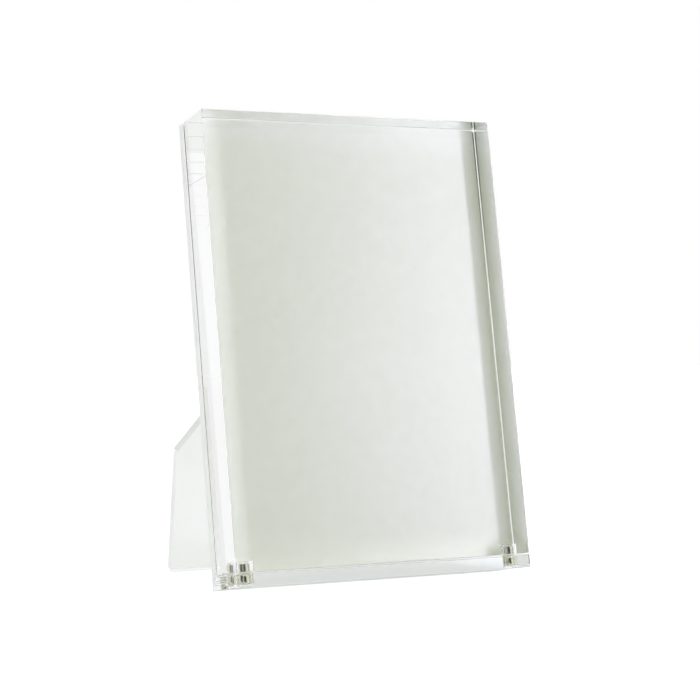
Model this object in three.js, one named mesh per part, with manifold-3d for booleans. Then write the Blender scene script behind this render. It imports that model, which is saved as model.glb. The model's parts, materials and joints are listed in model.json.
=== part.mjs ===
import * as THREE from 'three';
import { mergeVertices } from 'three/addons/utils/BufferGeometryUtils.js';
import Module from 'manifold-3d';

// Clear acrylic photo frame. A thick block stands on a ledge in front of a thin back plate, with the
// picture card between them. Magnets in the block's lower corners meet magnets in the ledge, so the
// block pulls off by hand. Plate and ledge lean back together and a flat strut holds them up.
// Sizes are in millimetres and angles in degrees. x runs across the frame, y to the back, z up.

// Picture, block, plate and ledge
const pictureWidth = 127;
const pictureHeight = 177.8;
const blockThickness = 19.05;
const plateThickness = 4;
const ledgeThickness = 5.3;
const edgeBreak = 0.2;
const leanAngle = 11;

// Card between the block and the plate
const cardThickness = 1;
const cardInset = 0.1;

// Magnets and the blind holes that hold them
const magnetDiameter = 6.35;
const blockMagnetLength = 3.2;
const ledgeMagnetLength = 4;
const magnetBevel = 0.25;
const magnetRecess = 0.1;
const magnetSideInset = 6;
const holeEndSpace = 0.9;
const roundSteps = 40;

// Strut
const legThickness = 4.76;
const legLean = 18;
const legReach = 54.8;
const legFootWidth = 119;
const legShoulderWidth = 126;
const legShoulderHeight = 53;
const legTopWidth = 34;

// Clearances
const cementGap = 0.3;
const restGap = 0.3;
const cardGap = 0.3;
const magnetGap = 0.3;

const lean = THREE.MathUtils.degToRad(leanAngle);
const strutLean = THREE.MathUtils.degToRad(legLean);
const slotDepth = cardThickness + 2 * cardGap;
const frameDepth = blockThickness + slotDepth + plateThickness;
const magnetRadius = magnetDiameter / 2;
const holeRadius = magnetRadius + magnetGap;
const magnetX = pictureWidth / 2 - magnetSideInset;
const magnetY = -frameDepth + blockThickness / 2;
const blockFoot = ledgeThickness + restGap;
const frameTop = blockFoot + pictureHeight;

const wasm = await Module();
wasm.setup();

function toSolid(geometry) {
  const bare = geometry.clone();
  bare.deleteAttribute('normal');
  bare.deleteAttribute('uv');
  const merged = mergeVertices(bare);
  const vertProperties = new Float32Array(merged.attributes.position.array);
  const triVerts = new Uint32Array(merged.index.array);
  return new wasm.Manifold(new wasm.Mesh({ numProp: 3, vertProperties, triVerts }));
}

function toGeometry(solid) {
  const { vertProperties, triVerts } = solid.getMesh();
  const geometry = new THREE.BufferGeometry();
  geometry.setAttribute('position', new THREE.BufferAttribute(vertProperties, 3));
  geometry.setIndex(new THREE.BufferAttribute(triVerts, 1));
  geometry.computeVertexNormals();
  return geometry;
}

function polygon(points) {
  return new THREE.Shape(points.map(([x, y]) => new THREE.Vector2(x, y)));
}

// Sheet or block with all its edges broken: centred on x, from z = 0 up, from y = 0 to the back
function slab(width, height, thickness) {
  const half = width / 2;
  const cut = edgeBreak;
  const outline = polygon([
    [-half + cut, 0], [half - cut, 0], [half, cut], [half, height - cut],
    [half - cut, height], [-half + cut, height], [-half, height - cut], [-half, cut],
  ]);
  const geometry = new THREE.ExtrudeGeometry(outline, {
    depth: thickness - 2 * cut,
    bevelThickness: cut,
    bevelSize: cut,
    bevelOffset: -cut,
    bevelSegments: 1,
  });
  return geometry.translate(0, 0, cut - thickness).rotateX(Math.PI / 2);
}

// Upright cylinder from z = 0 up, with bevelled rims
function roundBar(radius, length, bevel) {
  const profile = [
    [0, 0], [radius - bevel, 0], [radius, bevel],
    [radius, length - bevel], [radius - bevel, length], [0, length],
  ];
  const points = profile.map(([r, z]) => new THREE.Vector2(r, z));
  return new THREE.LatheGeometry(points, roundSteps).rotateX(Math.PI / 2);
}

// Takes blind holes for the two magnets out of a slab, from one height to another
function withMagnetHoles(geometry, y, fromZ, toZ) {
  let solid = toSolid(geometry);
  for (const x of [-magnetX, magnetX]) {
    const hole = new THREE.CylinderGeometry(holeRadius, holeRadius, toZ - fromZ, roundSteps);
    hole.rotateX(Math.PI / 2).translate(x, y, (fromZ + toZ) / 2);
    solid = solid.subtract(toSolid(hole));
  }
  return toGeometry(solid);
}

const finishes = {
  acrylic: { color: 0xe6ebe8, roughness: 0.04, metalness: 0, transparent: true, opacity: 0.35 },
  card: { color: 0xdfe2da, roughness: 0.85, metalness: 0 },
  nickel: { color: 0xc9c5ba, roughness: 0.12, metalness: 1 },
};

function addPiece(group, name, geometry, finish, [x, y, z] = [0, 0, 0]) {
  const piece = new THREE.Mesh(geometry, new THREE.MeshStandardMaterial(finishes[finish]));
  piece.name = name;
  piece.position.set(x, y, z);
  group.add(piece);
}

// Everything that leans back, from the plate's back face at y = 0 and the ledge's underside at z = 0
const leaning = new THREE.Group();
leaning.rotation.x = -lean;

const holeTop = magnetRecess + blockMagnetLength + holeEndSpace;
const block = slab(pictureWidth, pictureHeight, blockThickness);
const drilledBlock = withMagnetHoles(block, blockThickness / 2, -edgeBreak, holeTop);
addPiece(leaning, 'front_block', drilledBlock, 'acrylic', [0, -frameDepth, blockFoot]);

const plateFootZ = ledgeThickness + cementGap;
const plate = slab(pictureWidth, frameTop - plateFootZ, plateThickness);
addPiece(leaning, 'back_plate', plate, 'acrylic', [0, -plateThickness, plateFootZ]);

const ledge = slab(pictureWidth, ledgeThickness, frameDepth);
const ledgeMagnetZ = ledgeThickness - magnetRecess - ledgeMagnetLength;
const pocketFloor = ledgeMagnetZ - magnetGap;
const ledgeHoleY = magnetY + frameDepth;
const drilledLedge = withMagnetHoles(ledge, ledgeHoleY, pocketFloor, ledgeThickness + edgeBreak);
addPiece(leaning, 'base_ledge', drilledLedge, 'acrylic', [0, -frameDepth, 0]);

const cardWidth = pictureWidth - 2 * cardInset;
const cardHeight = frameTop - cardInset - ledgeThickness - cardGap;
const cardY = -plateThickness - slotDepth / 2;
const card = new THREE.BoxGeometry(cardWidth, cardThickness, cardHeight);
addPiece(leaning, 'photo_insert', card, 'card', [0, cardY, ledgeThickness + cardGap + cardHeight / 2]);

const blockMagnet = roundBar(magnetRadius, blockMagnetLength, magnetBevel);
const ledgeMagnet = roundBar(magnetRadius, ledgeMagnetLength, magnetBevel);
for (const [side, x] of [['left', -magnetX], ['right', magnetX]]) {
  addPiece(leaning, `block_magnet_${side}`, blockMagnet, 'nickel', [x, magnetY, blockFoot + magnetRecess]);
  addPiece(leaning, `ledge_magnet_${side}`, ledgeMagnet, 'nickel', [x, magnetY, ledgeMagnetZ]);
}

// The ledge stands on the back edge of its underside, which its broken edge moves forward
const heelDrop = -edgeBreak * Math.sin(lean);
leaning.position.z = heelDrop;

// Strut: side view of a flat sheet from its foot to a mitre along the back of the plate
const strutUp = new THREE.Vector2(-Math.sin(strutLean), Math.cos(strutLean));
const strutBack = new THREE.Vector2(Math.cos(strutLean), Math.sin(strutLean));
const plateNormal = new THREE.Vector2(Math.cos(lean), -Math.sin(lean));
const plateFoot = new THREE.Vector2(0, heelDrop);

function lengthToPlate(foot) {
  const distance = foot.clone().sub(plateFoot).dot(plateNormal) - cementGap;
  return distance / Math.sin(strutLean + lean);
}

const footFront = new THREE.Vector2(legReach, 0);
const footRear = footFront.clone().addScaledVector(strutBack, legThickness);
const frontLength = lengthToPlate(footFront);
const rearLength = lengthToPlate(footRear);
const sideView = new THREE.Shape([
  footFront,
  footRear,
  footRear.clone().addScaledVector(strutUp, rearLength),
  footFront.clone().addScaledVector(strutUp, frontLength),
]);
const strutBar = new THREE.ExtrudeGeometry(sideView, { depth: legShoulderWidth, bevelEnabled: false });
strutBar.translate(0, 0, -legShoulderWidth / 2).rotateY(Math.PI / 2).rotateX(Math.PI / 2);

// Front view of the same sheet, square to its face: foot, shoulders and tapered top
const halfFoot = legFootWidth / 2;
const halfShoulder = legShoulderWidth / 2;
const halfTop = legTopWidth / 2;
const outlineMargin = legThickness;
const frontView = polygon([
  [-halfFoot, 0], [halfFoot, 0], [halfShoulder, legShoulderHeight], [halfTop, rearLength],
  [-halfTop, rearLength], [-halfShoulder, legShoulderHeight],
]);
const outline = new THREE.ExtrudeGeometry(frontView, {
  depth: legThickness + 2 * outlineMargin,
  bevelEnabled: false,
});
outline.translate(0, 0, -legThickness - outlineMargin).rotateX(Math.PI / 2 + strutLean);
outline.translate(0, legReach, 0);

const strut = toGeometry(toSolid(strutBar).intersect(toSolid(outline)));

// The whole frame, with its box centred over the origin
const rearY = legReach + legThickness * Math.cos(strutLean);
const frontY = -frameDepth * Math.cos(lean) + edgeBreak * Math.sin(lean);
const frame = new THREE.Group();
frame.position.y = -(rearY + frontY) / 2;
frame.add(leaning);
addPiece(frame, 'easel_leg', strut, 'acrylic');

export default frame;
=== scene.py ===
import json
import math

import bpy
from mathutils import Matrix, Vector


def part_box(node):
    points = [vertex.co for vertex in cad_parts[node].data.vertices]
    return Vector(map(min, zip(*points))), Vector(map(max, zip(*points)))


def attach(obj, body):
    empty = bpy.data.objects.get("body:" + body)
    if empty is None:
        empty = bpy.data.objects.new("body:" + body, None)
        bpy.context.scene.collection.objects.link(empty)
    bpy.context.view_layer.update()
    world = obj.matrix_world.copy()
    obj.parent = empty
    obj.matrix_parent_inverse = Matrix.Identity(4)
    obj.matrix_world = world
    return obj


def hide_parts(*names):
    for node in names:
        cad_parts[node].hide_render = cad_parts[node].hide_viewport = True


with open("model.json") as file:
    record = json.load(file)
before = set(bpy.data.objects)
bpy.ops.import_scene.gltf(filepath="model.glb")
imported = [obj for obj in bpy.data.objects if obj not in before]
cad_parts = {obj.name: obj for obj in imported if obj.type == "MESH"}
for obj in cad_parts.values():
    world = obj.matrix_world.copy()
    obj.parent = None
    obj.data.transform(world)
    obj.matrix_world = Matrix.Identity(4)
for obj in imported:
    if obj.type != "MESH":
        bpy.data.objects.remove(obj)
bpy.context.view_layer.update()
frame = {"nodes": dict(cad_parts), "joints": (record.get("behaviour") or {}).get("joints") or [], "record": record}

mm = 0.001
sides = ("left", "right")
bpy.ops.object.select_all(action="DESELECT")
print("frame loaded:", len(frame["nodes"]), "nodes")


# The plate leans back. The card slides along the lean, so its joint gives the lean's direction.
liftAxis = next(Vector(joint["axis"]) for joint in frame["joints"] if joint["name"] == "insert_lift")
leanAngle = math.atan2(liftAxis.y, liftAxis.z)
leanTurn = Matrix.Rotation(-leanAngle, 3, "X")
across = Vector((1, 0, 0))
plateBack = leanTurn @ Vector((0, 1, 0))


def leanBox(node):
    # corners of a node's box in the leaning frame: across, to the back, up along the plate
    points = [leanTurn.inverted() @ vertex.co for vertex in frame["nodes"][node].data.vertices]
    low = Vector([min(point[axis] for point in points) for axis in range(3)])
    high = Vector([max(point[axis] for point in points) for axis in range(3)])
    return low, high


def bodyOf(node):
    bodies = frame["record"]["behaviour"]["bodies"]
    return next(body for body, nodes in bodies.items() if node in nodes)


# Colours and nodes

def linearColour(hexColour):
    # sRGB hex to the linear colour that the shaders want
    parts = [int(hexColour[place:place + 2], 16) / 255 for place in (1, 3, 5)]
    return [part / 12.92 if part <= 0.04045 else ((part + 0.055) / 1.055) ** 2.4 for part in parts] + [1]


def addNode(tree, kind, sockets=None, **settings):
    # a socket's value is a number or a colour, or the output that feeds it
    node = tree.nodes.new(kind)
    for name, value in settings.items():
        setattr(node, name, value)
    for name, value in (sockets or {}).items():
        if isinstance(value, bpy.types.NodeSocket):
            tree.links.new(value, node.inputs[name])
        else:
            node.inputs[name].default_value = value
    return node


def newMaterial(name):
    material = bpy.data.materials.new(name)
    material.use_nodes = True
    material.node_tree.nodes.clear()
    return material, material.node_tree


def eitherWay(tree, vector, direction):
    # how far a vector reaches along a direction, forwards or backwards
    along = addNode(tree, "ShaderNodeVectorMath", {0: vector, 1: direction}, operation="DOT_PRODUCT")
    return addNode(tree, "ShaderNodeMath", {0: along.outputs["Value"]}, operation="ABSOLUTE").outputs[0]


def offFace(tree, coords, sheetNormal):
    # 0 on the broad faces of a sheet and 1 on its cut edges, with a soft change on the rounding between
    onEdge = 0.3
    onFace = 0.8
    return addNode(tree, "ShaderNodeMapRange", {
        "Value": eitherWay(tree, coords.outputs["Normal"], sheetNormal),
        "From Min": onEdge,
        "From Max": onFace,
        "To Min": 1.0,
        "To Max": 0.0,
    }).outputs["Result"]


# Cast acrylic: colourless and mirror smooth, with a faint haze from handling. The block and the ledge are
# polished, with scraped edges that show as thin grey lines. The thin sheets keep a satin edge from the saw,
# and the ledge's holes are left as drilled.
acrylicLook = {
    "clear": "#fdfdfd",
    "tinted": "#f8faf9",
    "ior": 1.495,
    "tintSize": 60 * mm,
    "hazeSize": 9 * mm,
    "hazeFrom": 0.55,
    "hazeTo": 0.8,
    "polished": (0.0, 0.01),  # least and most roughness of a finish
    "drilled": (0.28, 0.4),
    "scraped": (0.3, 0.45),
    "satin": 0.3,
    "sawn": "#f9fbfa",
}


def makeAcrylic(name, finish, sheetNormal=None):
    look = acrylicLook
    material, tree = newMaterial(name)
    coords = addNode(tree, "ShaderNodeTexCoord")
    place = coords.outputs["Object"]
    tint = addNode(tree, "ShaderNodeTexNoise", {"Vector": place, "Scale": 1 / look["tintSize"], "Detail": 2})
    colour = addNode(tree, "ShaderNodeMix", {
        0: tint.outputs["Fac"],
        6: linearColour(look["clear"]),
        7: linearColour(look["tinted"]),
    }, data_type="RGBA")
    haze = addNode(tree, "ShaderNodeTexNoise", {"Vector": place, "Scale": 1 / look["hazeSize"], "Detail": 4})
    rough = addNode(tree, "ShaderNodeMapRange", {
        "Value": haze.outputs["Fac"],
        "From Min": look["hazeFrom"],
        "From Max": look["hazeTo"],
        "To Min": look[finish][0],
        "To Max": look[finish][1],
    }).outputs["Result"]
    if sheetNormal:
        edge = offFace(tree, coords, sheetNormal)
        rough = addNode(tree, "ShaderNodeMix", {
            0: edge,
            2: rough,
            3: look["satin"],
        }, data_type="FLOAT").outputs[0]
        colour = addNode(tree, "ShaderNodeMix", {
            0: edge,
            6: colour.outputs[2],
            7: linearColour(look["sawn"]),
        }, data_type="RGBA")
    shader = addNode(tree, "ShaderNodeBsdfPrincipled", {
        "Base Color": colour.outputs[2],
        "Roughness": rough,
        "IOR": look["ior"],
        "Transmission Weight": 1.0,
    })
    addNode(tree, "ShaderNodeOutputMaterial", {"Surface": shader.outputs["BSDF"]})
    return material


# Uncoated card: matt off-white, with a soft mottle, short fibres and a pale core at the cut edges. Its side
# edges and a narrow rim beside them are darkened towards the top: painted shade from the slot they sit in.
cardLook = {
    "pale": "#f4f5f0",
    "dull": "#ecede6",
    "core": "#f0f1ec",
    # the colour of the painted shade on the side edges and the rim
    "paintedSlotShade": "#36392a",
    "shadeRimWidth": 1.0 * mm,
    "shadeRimLength": 72 * mm,
    "mottleSize": 5 * mm,
    "fibreSize": 0.9 * mm,  # real fibres are finer: drawn coarse enough to show
    "fibreHeight": 0.012 * mm,
    "roughLeast": 0.75,
    "roughMost": 0.95,
}


def makeCard():
    look = cardLook
    material, tree = newMaterial("uncoatedCard")
    coords = addNode(tree, "ShaderNodeTexCoord")
    place = coords.outputs["Object"]
    mottle = addNode(tree, "ShaderNodeTexNoise", {
        "Vector": place,
        "Scale": 1 / look["mottleSize"],
        "Detail": 5,
    })
    surface = addNode(tree, "ShaderNodeMix", {
        0: mottle.outputs["Fac"],
        6: linearColour(look["pale"]),
        7: linearColour(look["dull"]),
    }, data_type="RGBA")
    # painted shade on the side edges, growing from the foot to the top
    low, high = leanBox("photo_insert")
    height = addNode(tree, "ShaderNodeVectorMath", {0: place, 1: liftAxis}, operation="DOT_PRODUCT")
    edgeShadeRise = addNode(tree, "ShaderNodeMapRange", {
        "Value": height.outputs["Value"],
        "From Min": low.z,
        "From Max": high.z,
    })
    edgePaintedShade = addNode(tree, "ShaderNodeMath", {
        0: eitherWay(tree, coords.outputs["Normal"], across),
        1: edgeShadeRise.outputs["Result"],
    }, operation="MULTIPLY")
    # painted shade on a narrow rim of the faces beside the side edges, only high up
    rimShadeRise = addNode(tree, "ShaderNodeMapRange", {
        "Value": height.outputs["Value"],
        "From Min": high.z - look["shadeRimLength"],
        "From Max": high.z,
    })
    shadeRim = addNode(tree, "ShaderNodeMapRange", {
        "Value": eitherWay(tree, place, across),
        "From Min": high.x - look["shadeRimWidth"],
        "From Max": high.x - look["shadeRimWidth"] / 2,
    })
    rimPaintedShade = addNode(tree, "ShaderNodeMath", {
        0: shadeRim.outputs["Result"],
        1: rimShadeRise.outputs["Result"],
    }, operation="MULTIPLY")
    paintedShade = addNode(tree, "ShaderNodeMath", {
        0: edgePaintedShade.outputs[0],
        1: rimPaintedShade.outputs[0],
    }, operation="MAXIMUM")
    colour = addNode(tree, "ShaderNodeMix", {
        0: offFace(tree, coords, plateBack),
        6: surface.outputs[2],
        7: linearColour(look["core"]),
    }, data_type="RGBA")
    # the painted shade goes over the card's own colour
    colour = addNode(tree, "ShaderNodeMix", {
        0: paintedShade.outputs[0],
        6: colour.outputs[2],
        7: linearColour(look["paintedSlotShade"]),
    }, data_type="RGBA")
    fibre = addNode(tree, "ShaderNodeTexNoise", {
        "Vector": place,
        "Scale": 1 / look["fibreSize"],
        "Detail": 3,
    })
    relief = addNode(tree, "ShaderNodeBump", {
        "Height": fibre.outputs["Fac"],
        "Distance": look["fibreHeight"],
    })
    rough = addNode(tree, "ShaderNodeMapRange", {
        "Value": fibre.outputs["Fac"],
        "To Min": look["roughLeast"],
        "To Max": look["roughMost"],
    })
    shader = addNode(tree, "ShaderNodeBsdfPrincipled", {
        "Base Color": colour.outputs[2],
        "Roughness": rough.outputs["Result"],
        "Normal": relief.outputs["Normal"],
    })
    addNode(tree, "ShaderNodeOutputMaterial", {"Surface": shader.outputs["BSDF"]})
    return material


# Bright nickel plating over a pressed magnet: warm grey mirror with a slight peel and dull specks
nickelLook = {
    "bright": "#e7e7d6",
    "dull": "#bfbfa9",
    "speckSize": 0.8 * mm,
    "speckFrom": 0.4,
    "speckTo": 0.75,
    "smooth": 0.03,
    "worn": 0.12,
    "peelSize": 0.5 * mm,
    "peelHeight": 0.004 * mm,
}


def makeNickel():
    look = nickelLook
    material, tree = newMaterial("nickelPlating")
    place = addNode(tree, "ShaderNodeTexCoord").outputs["Object"]
    speck = addNode(tree, "ShaderNodeTexNoise", {
        "Vector": place,
        "Scale": 1 / look["speckSize"],
        "Detail": 4,
    })
    colour = addNode(tree, "ShaderNodeMix", {
        0: speck.outputs["Fac"],
        6: linearColour(look["bright"]),
        7: linearColour(look["dull"]),
    }, data_type="RGBA")
    rough = addNode(tree, "ShaderNodeMapRange", {
        "Value": speck.outputs["Fac"],
        "From Min": look["speckFrom"],
        "From Max": look["speckTo"],
        "To Min": look["smooth"],
        "To Max": look["worn"],
    })
    peel = addNode(tree, "ShaderNodeTexNoise", {"Vector": place, "Scale": 1 / look["peelSize"], "Detail": 1})
    relief = addNode(tree, "ShaderNodeBump", {
        "Height": peel.outputs["Fac"],
        "Distance": look["peelHeight"],
    })
    shader = addNode(tree, "ShaderNodeBsdfPrincipled", {
        "Base Color": colour.outputs[2],
        "Metallic": 1.0,
        "Roughness": rough.outputs["Result"],
        "Normal": relief.outputs["Normal"],
    })
    addNode(tree, "ShaderNodeOutputMaterial", {"Surface": shader.outputs["BSDF"]})
    return material


polishedAcrylic = makeAcrylic("castAcrylicPolished", "polished")
drilledAcrylic = makeAcrylic("castAcrylicDrilled", "drilled")
scrapedAcrylic = makeAcrylic("castAcrylicScraped", "scraped")
plateAcrylic = makeAcrylic("castAcrylicSheet", "polished", plateBack)
card = makeCard()
nickel = makeNickel()
print("materials made: acrylic, card, nickel")


# Modelling steps that several pieces share

def settlePrimitive(name):
    # names the primitive just added and puts its place into its mesh
    piece = bpy.context.object
    piece.name = name
    piece.data.name = name
    bpy.ops.object.transform_apply(location=True, rotation=True, scale=True)
    return piece


def addBox(name, low, high):
    # cube that fills a box in the leaning frame
    bpy.ops.object.select_all(action="DESELECT")
    bpy.ops.mesh.primitive_cube_add(
        size=1,
        location=leanTurn @ ((low + high) / 2),
        rotation=(-leanAngle, 0, 0),
        scale=high - low,
    )
    return settlePrimitive(name)


def addRod(name, low, high, steps):
    # upright cylinder that fills a box in the leaning frame
    bpy.ops.object.select_all(action="DESELECT")
    bpy.ops.mesh.primitive_cylinder_add(
        vertices=steps,
        radius=(high.x - low.x) / 2,
        depth=high.z - low.z,
        location=leanTurn @ ((low + high) / 2),
        rotation=(-leanAngle, 0, 0),
    )
    return settlePrimitive(name)


def pickEdges(piece, wanted):
    # selects the edges for which wanted(one end, other end) is true
    mesh = piece.data
    bpy.context.tool_settings.mesh_select_mode = (False, True, False)
    for group in (mesh.vertices, mesh.edges, mesh.polygons):
        group.foreach_set("select", [False] * len(group))
    for edge in mesh.edges:
        one, other = (mesh.vertices[index].co for index in edge.vertices)
        edge.select = wanted(one, other)


def bevelPicked(width, steps):
    bpy.ops.object.mode_set(mode="EDIT")
    bpy.ops.mesh.bevel(offset=width, segments=steps, profile=0.5, affect="EDGES")
    bpy.ops.object.mode_set(mode="OBJECT")


def cutAway(piece, cutter):
    bpy.ops.object.select_all(action="DESELECT")
    bpy.context.view_layer.objects.active = piece
    cut = piece.modifiers.new("cut", "BOOLEAN")
    cut.operation = "DIFFERENCE"
    cut.solver = "EXACT"
    cut.object = cutter
    bpy.ops.object.modifier_apply(modifier=cut.name)
    bpy.data.objects.remove(cutter)


def finishPiece(piece, node, material, smoothBelow):
    bpy.ops.object.select_all(action="DESELECT")
    piece.select_set(True)
    bpy.context.view_layer.objects.active = piece
    bpy.ops.object.shade_smooth_by_angle(angle=math.radians(smoothBelow))
    piece.data.materials.clear()
    piece.data.materials.append(material)
    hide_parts(node)
    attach(piece, bodyOf(node))
    print("piece made:", piece.name, len(piece.data.polygons), "faces")


sheet = {
    "edgeRound": 0.15 * mm,
    "edgeSteps": 4,
    "bondGap": 0.3 * mm,  # the frame leaves this gap for cement
    "bondSink": 0.02 * mm,  # bonded pieces overlap a hair, so that no film of air shows
    "flatAngle": 8,
}
magnetHole = {
    "glueGap": 0.3 * mm,
    "steps": 96,
    "endSpace": 0.9 * mm,
    "cutSpare": 1 * mm,  # the cutter reaches this far out of the open end
}


def scrapeEdges(piece, low, high):
    # faces beside two or more sides of the piece's box are its broken edges
    piece.data.materials.append(scrapedAcrylic)
    for face in piece.data.polygons:
        place = leanTurn.inverted() @ face.center
        insets = [min(place[axis] - low[axis], high[axis] - place[axis]) for axis in range(3)]
        beside = [inset < sheet["edgeRound"] for inset in insets]
        if beside.count(True) > 1:
            face.material_index = len(piece.data.materials) - 1


def drillHole(piece, magnetNode, fromZ, toZ, room):
    # blind hole round a magnet, flat at its closed end as an end mill leaves it
    low, high = leanBox(magnetNode)
    gap = Vector((room, room, 0))
    low, high = low - gap, high + gap
    low.z, high.z = fromZ, toZ
    cutter = addRod("holeCutter", low, high, magnetHole["steps"])
    cutAway(piece, cutter)


# Front block, with a hole up from its foot round each magnet
blockLow, blockHigh = leanBox("front_block")
clearBlock = addBox("clearBlock", blockLow, blockHigh)
pickEdges(clearBlock, lambda one, other: True)
bevelPicked(sheet["edgeRound"], sheet["edgeSteps"])
holeFoot = blockLow.z - magnetHole["cutSpare"]
for side in sides:
    holeTop = leanBox("block_magnet_" + side)[1].z + magnetHole["endSpace"]
    drillHole(clearBlock, "block_magnet_" + side, holeFoot, holeTop, magnetHole["glueGap"])
finishPiece(clearBlock, "front_block", polishedAcrylic, sheet["flatAngle"])
scrapeEdges(clearBlock, blockLow, blockHigh)

# Ledge, with a hole down from its top for each magnet. Clear glue fills these holes round the magnets, so
# their walls touch them.
ledgeLow, ledgeHigh = leanBox("base_ledge")
ledgeMiddle = (ledgeLow + ledgeHigh) / 2
clearLedge = addBox("clearLedge", ledgeLow, ledgeHigh)
pickEdges(clearLedge, lambda one, other: True)
bevelPicked(sheet["edgeRound"], sheet["edgeSteps"])
pocketTop = ledgeHigh.z + magnetHole["cutSpare"]
for side in sides:
    pocketFloor = leanBox("ledge_magnet_" + side)[0].z - magnetHole["glueGap"]
    drillHole(clearLedge, "ledge_magnet_" + side, pocketFloor, pocketTop, -sheet["bondSink"])
finishPiece(clearLedge, "base_ledge", polishedAcrylic, sheet["flatAngle"])
# the holes' walls and floors get the drilled finish, and so do the two end pieces of the top beside them
clearLedge.data.materials.append(drilledAcrylic)
for side in sides:
    low, high = leanBox("ledge_magnet_" + side)
    centre = (low + high) / 2
    reach = (high.x - low.x) / 2 + 2 * magnetHole["glueGap"]
    for face in clearLedge.data.polygons:
        offset = leanTurn.inverted() @ face.center - centre
        if offset.xy.length < reach:
            face.material_index = len(clearLedge.data.materials) - 1
scrapeEdges(clearLedge, ledgeLow, ledgeHigh)

# Back plate, bonded down on the ledge
plateLow, plateHigh = leanBox("back_plate")
plateLow.z = ledgeHigh.z - sheet["bondSink"]
clearPlate = addBox("clearPlate", plateLow, plateHigh)
plateFoot = (leanTurn @ plateLow).dot(liftAxis) + sheet["edgeRound"]
pickEdges(clearPlate, lambda one, other: max(one.dot(liftAxis), other.dot(liftAxis)) > plateFoot)
bevelPicked(sheet["edgeRound"], sheet["edgeSteps"])
finishPiece(clearPlate, "back_plate", plateAcrylic, sheet["flatAngle"])

# Strut, cut from sheet along the faces of its solid
strutShape = {
    "spare": 20 * mm,  # the sheet starts this much too large
    "sameWay": 0.9999,  # normals this much alike belong to one flat face
    "towardsPlate": 0.999,
    "cutTolerance": 1e-6,
}


def facePlanes(node):
    planes = []
    for face in frame["nodes"][node].data.polygons:
        if not any(face.normal.dot(normal) > strutShape["sameWay"] for point, normal in planes):
            planes.append((face.center.copy(), face.normal.copy()))
    return planes


strutLow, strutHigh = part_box("easel_leg")
bpy.ops.object.select_all(action="DESELECT")
bpy.ops.mesh.primitive_cube_add(
    size=1,
    location=(strutLow + strutHigh) / 2,
    scale=strutHigh - strutLow + strutShape["spare"] * Vector((1, 1, 1)),
)
clearStrut = settlePrimitive("clearStrut")
mitre = None
for point, normal in facePlanes("easel_leg"):
    if normal.dot(plateBack) < -strutShape["towardsPlate"]:
        point = point + normal * (sheet["bondGap"] + sheet["bondSink"])
        mitre = (point, normal)
    bpy.ops.object.mode_set(mode="EDIT")
    bpy.ops.mesh.select_all(action="SELECT")
    bpy.ops.mesh.bisect(
        plane_co=point,
        plane_no=normal,
        use_fill=True,
        clear_outer=True,
        threshold=strutShape["cutTolerance"],
    )
    bpy.ops.object.mode_set(mode="OBJECT")


def offMitre(one, other):
    point, normal = mitre
    return min((one - point).dot(normal), (other - point).dot(normal)) < -sheet["edgeRound"]


strutFace = max(frame["nodes"]["easel_leg"].data.polygons, key=lambda face: face.area).normal
strutAcrylic = makeAcrylic("castAcrylicStrut", "polished", strutFace)
pickEdges(clearStrut, offMitre)
bevelPicked(sheet["edgeRound"], sheet["edgeSteps"])
finishPiece(clearStrut, "easel_leg", strutAcrylic, sheet["flatAngle"])

# Picture card, trimmed a little at the sides and the top
cardShape = {
    "trim": 0.15 * mm,
    "cornerRound": 1.4 * mm,
    "cornerSteps": 6,
    "edgeRound": 0.06 * mm,
    "edgeSteps": 2,
    "flatWithin": 0.01 * mm,
}
cardLow, cardHigh = leanBox("photo_insert")
cardLow.x += cardShape["trim"]
cardHigh -= Vector((cardShape["trim"], 0, cardShape["trim"]))
pictureCard = addBox("pictureCard", cardLow, cardHigh)
pickEdges(pictureCard, lambda one, other: abs((one - other).dot(plateBack)) > (cardHigh.y - cardLow.y) / 2)
bevelPicked(cardShape["cornerRound"], cardShape["cornerSteps"])
pickEdges(pictureCard, lambda one, other: abs((one - other).dot(plateBack)) < cardShape["flatWithin"])
bevelPicked(cardShape["edgeRound"], cardShape["edgeSteps"])
finishPiece(pictureCard, "photo_insert", card, sheet["flatAngle"])

# Magnets, one in each hole
magnetShape = {
    "steps": 96,
    "rimRound": 0.25 * mm,
    "rimSteps": 4,
    "smoothBelow": 30,
}
for holder in ("block", "ledge"):
    for side in sides:
        node = f"{holder}_magnet_{side}"
        low, high = leanBox(node)
        magnet = addRod(f"{holder}Magnet{side.title()}", low, high, magnetShape["steps"])
        rise = (high.z - low.z) / 2
        pickEdges(magnet, lambda one, other: abs((one - other).dot(liftAxis)) < rise)
        bevelPicked(magnetShape["rimRound"], magnetShape["rimSteps"])
        finishPiece(magnet, node, nickel, magnetShape["smoothBelow"])


# Floor and world
studio = {
    "floorSize": 4.0,
    "floorColour": "#e8ecf6",
    "floorRough": 0.9,
    "seenGlow": 0.7,
    "throughGlow": 0.365,
    "mirrorGlow": 0.38,
    "glowColour": "#fbf2fe",
    # the glow left close to the ledge makes a painted shadow
    "shade": 0.53,  # share of the glow that is left close to the ledge
    "shadeFrom": 25 * mm,
    "shadeTo": 80 * mm,
    "shadeStretch": Vector((0.5, 1, 0)),
    "white": "#ffffff",
    "wallLight": "#f7ffd6",
    "leftLight": 0.357,
    "rightLight": 0.74,
    "sideReach": 0.7,
    "backColour": "#fff9f6",
    "backLight": 1.0,
    "backFrom": 0.4,
    "backTo": 0.7,
    "darkSide": Vector((-0.65, -0.76, 0.05)).normalized(),  # the unlit room round the camera
    "darkEdge": 50,  # degrees from the middle of the dark side
    "darkCore": 38,
    "darkLevel": 0.03,
    "unlitSide": Vector((-0.9, -0.43, 0)),  # where the floor fades into that room
    "unlitColour": "#202020",
    "unlitFrom": 200 * mm,
    "unlitTo": 1100 * mm,
}


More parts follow.
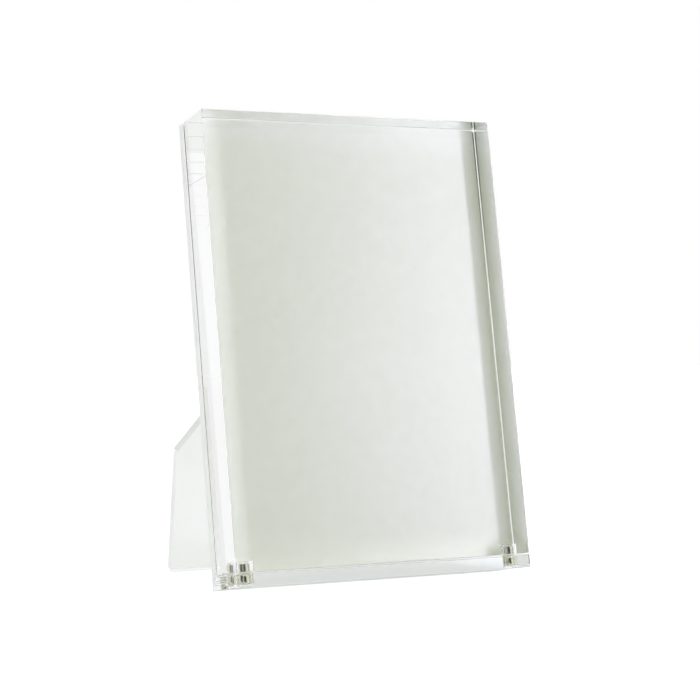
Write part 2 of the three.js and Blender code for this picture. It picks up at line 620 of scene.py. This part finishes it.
def makeFloor():
    # the floor looks white, but in or through the acrylic its glow is dimmed round the ledge, a painted shadow,
    # and in mirrors it fades far to the left
    bpy.ops.object.select_all(action="DESELECT")
    bpy.ops.mesh.primitive_plane_add(size=studio["floorSize"])
    floor = bpy.context.object
    floor.name = "studioFloor"
    material, tree = newMaterial("paleFloor")
    path = addNode(tree, "ShaderNodeLightPath")
    glow = addNode(tree, "ShaderNodeMix", {
        0: path.outputs["Glossy Depth"],
        2: studio["throughGlow"],
        3: studio["mirrorGlow"],
    }, data_type="FLOAT")
    place = addNode(tree, "ShaderNodeTexCoord").outputs["Object"]
    stretch = studio["shadeStretch"]
    fromLedge = addNode(tree, "ShaderNodeVectorMath", {
        0: place,
        1: stretch,
        2: -stretch * (leanTurn @ ledgeMiddle),
    }, operation="MULTIPLY_ADD")
    away = addNode(tree, "ShaderNodeVectorMath", {0: fromLedge.outputs["Vector"]}, operation="LENGTH")
    # painted shadow: the glow is dimmed close to the ledge
    shade = addNode(tree, "ShaderNodeMapRange", {
        "Value": away.outputs["Value"],
        "From Min": studio["shadeFrom"],
        "From Max": studio["shadeTo"],
        "To Min": studio["shade"],
        "To Max": 1.0,
    }, interpolation_type="SMOOTHSTEP")
    glow = addNode(tree, "ShaderNodeMath", {
        0: glow.outputs[0],
        1: shade.outputs["Result"],
    }, operation="MULTIPLY")
    glow = addNode(tree, "ShaderNodeMix", {
        0: path.outputs["Is Camera Ray"],
        2: glow.outputs[0],
        3: studio["seenGlow"],
    }, data_type="FLOAT")
    glow = addNode(tree, "ShaderNodeMix", {
        0: path.outputs["Diffuse Depth"],
        2: glow.outputs[0],
        3: 0.0,
    }, data_type="FLOAT")
    aside = addNode(tree, "ShaderNodeVectorMath", {
        0: place,
        1: studio["unlitSide"],
    }, operation="DOT_PRODUCT")
    unlit = addNode(tree, "ShaderNodeMapRange", {
        "Value": aside.outputs["Value"],
        "From Min": studio["unlitFrom"],
        "From Max": studio["unlitTo"],
    }, interpolation_type="SMOOTHSTEP")
    unlit = addNode(tree, "ShaderNodeMath", {
        0: unlit.outputs["Result"],
        1: path.outputs["Glossy Depth"],
    }, operation="MULTIPLY", use_clamp=True)
    glow = addNode(tree, "ShaderNodeMix", {
        0: unlit.outputs[0],
        2: glow.outputs[0],
        3: studio["darkLevel"],
    }, data_type="FLOAT")
    colour = addNode(tree, "ShaderNodeMix", {
        0: unlit.outputs[0],
        6: linearColour(studio["floorColour"]),
        7: linearColour(studio["unlitColour"]),
    }, data_type="RGBA")
    shader = addNode(tree, "ShaderNodeBsdfPrincipled", {
        "Base Color": colour.outputs[2],
        "Roughness": studio["floorRough"],
        "Emission Color": linearColour(studio["glowColour"]),
        "Emission Strength": glow.outputs[0],
    })
    addNode(tree, "ShaderNodeOutputMaterial", {"Surface": shader.outputs["BSDF"]})
    floor.data.materials.append(material)


def makeWorld():
    # matt pieces are lit from both sides and by white light from behind, mirrors see the dark side too, and
    # straight through all is white
    world = bpy.data.worlds.new("studio")
    bpy.context.scene.world = world
    world.use_nodes = True
    tree = world.node_tree
    tree.nodes.clear()
    path = addNode(tree, "ShaderNodeLightPath")
    way = addNode(tree, "ShaderNodeTexCoord").outputs["Generated"]
    parts = addNode(tree, "ShaderNodeSeparateXYZ", {"Vector": way})
    wallLevel = addNode(tree, "ShaderNodeMapRange", {
        "Value": parts.outputs["X"],
        "From Min": -studio["sideReach"],
        "From Max": studio["sideReach"],
        "To Min": studio["leftLight"],
        "To Max": studio["rightLight"],
    }, interpolation_type="SMOOTHSTEP")
    behind = addNode(tree, "ShaderNodeMapRange", {
        "Value": parts.outputs["Y"],
        "From Min": studio["backFrom"],
        "From Max": studio["backTo"],
    }, interpolation_type="SMOOTHSTEP").outputs["Result"]
    lightLevel = addNode(tree, "ShaderNodeMix", {
        0: behind,
        2: wallLevel.outputs["Result"],
        3: studio["backLight"],
    }, data_type="FLOAT")
    lightColour = addNode(tree, "ShaderNodeMix", {
        0: behind,
        6: linearColour(studio["wallLight"]),
        7: linearColour(studio["backColour"]),
    }, data_type="RGBA")
    nearDark = addNode(tree, "ShaderNodeVectorMath", {
        0: way,
        1: studio["darkSide"],
    }, operation="DOT_PRODUCT")
    mirrorLevel = addNode(tree, "ShaderNodeMapRange", {
        "Value": nearDark.outputs["Value"],
        "From Min": math.cos(math.radians(studio["darkEdge"])),
        "From Max": math.cos(math.radians(studio["darkCore"])),
        "To Min": 1.0,
        "To Max": studio["darkLevel"],
    }, interpolation_type="SMOOTHSTEP")
    seenLevel = addNode(tree, "ShaderNodeMix", {
        0: path.outputs["Glossy Depth"],
        2: 1.0,
        3: mirrorLevel.outputs["Result"],
    }, data_type="FLOAT")
    seen = addNode(tree, "ShaderNodeBackground", {
        "Color": linearColour(studio["white"]),
        "Strength": seenLevel.outputs[0],
    })
    light = addNode(tree, "ShaderNodeBackground", {
        "Color": lightColour.outputs[2],
        "Strength": lightLevel.outputs[0],
    })
    both = addNode(tree, "ShaderNodeMixShader", {
        0: path.outputs["Diffuse Depth"],
        1: seen.outputs["Background"],
        2: light.outputs["Background"],
    })
    addNode(tree, "ShaderNodeOutputWorld", {"Surface": both.outputs["Shader"]})


# Soft box at the front right, with a bright strip along its outer edge. It lights matt pieces and doesn't
# show itself in the acrylic.
softBox = {
    "ahead": 180 * mm,
    "above": 8 * mm,
    "height": 390 * mm,
    "thick": 1 * mm,
    "colour": "#f0eaff",
    "broad": {"from": 64 * mm, "to": 158 * mm, "strength": 2.4},
    "strip": {"from": 158 * mm, "to": 174 * mm, "strength": 17.0},
}


def makeSoftBox(part):
    middle = (blockLow + blockHigh) / 2
    y = blockLow.y - softBox["ahead"]
    z = middle.z + softBox["above"]
    low = Vector((softBox[part]["from"], y - softBox["thick"], z - softBox["height"] / 2))
    high = Vector((softBox[part]["to"], y, z + softBox["height"] / 2))
    panel = addBox("softBox" + part.title(), low, high)
    material, tree = newMaterial("softBox" + part.title())
    path = addNode(tree, "ShaderNodeLightPath")
    clear = addNode(tree, "ShaderNodeBsdfTransparent")
    glow = addNode(tree, "ShaderNodeEmission", {
        "Color": linearColour(softBox["colour"]),
        "Strength": softBox[part]["strength"],
    })
    both = addNode(tree, "ShaderNodeMixShader", {
        0: path.outputs["Diffuse Depth"],
        1: clear.outputs["BSDF"],
        2: glow.outputs["Emission"],
    })
    addNode(tree, "ShaderNodeOutputMaterial", {"Surface": both.outputs["Shader"]})
    material.cycles.emission_sampling = "NONE"
    panel.data.materials.append(material)


makeFloor()
makeWorld()
makeSoftBox("broad")
makeSoftBox("strip")
print("studio made: floor, world, soft box")


# Camera, fitted to the edges of the block and the ledge in the photograph. Light turns many times inside the
# block, so its paths are long, and nothing blurs or clamps what they bring.
view = {
    "place": (-333.49 * mm, -685.64 * mm, 109.52 * mm),
    "yaw": 26.171,
    "dip": 1.384,
    "lens": 97.222,
    "sensor": 36.0,
    "bounces": 96,
    "clearLayers": 16,
}
bpy.ops.object.camera_add(
    location=view["place"],
    rotation=(math.radians(90 - view["dip"]), 0, -math.radians(view["yaw"])),
)
camera = bpy.context.object
camera.name = "photoCamera"
camera.data.lens = view["lens"]
camera.data.sensor_width = view["sensor"]
scene = bpy.context.scene
scene.camera = camera
scene.view_settings.view_transform = "Standard"
scene.cycles.max_bounces = view["bounces"]
scene.cycles.transmission_bounces = view["bounces"]
scene.cycles.glossy_bounces = view["bounces"]
scene.cycles.transparent_max_bounces = view["clearLayers"]
scene.cycles.blur_glossy = 0
scene.cycles.sample_clamp_indirect = 0
print("camera made")
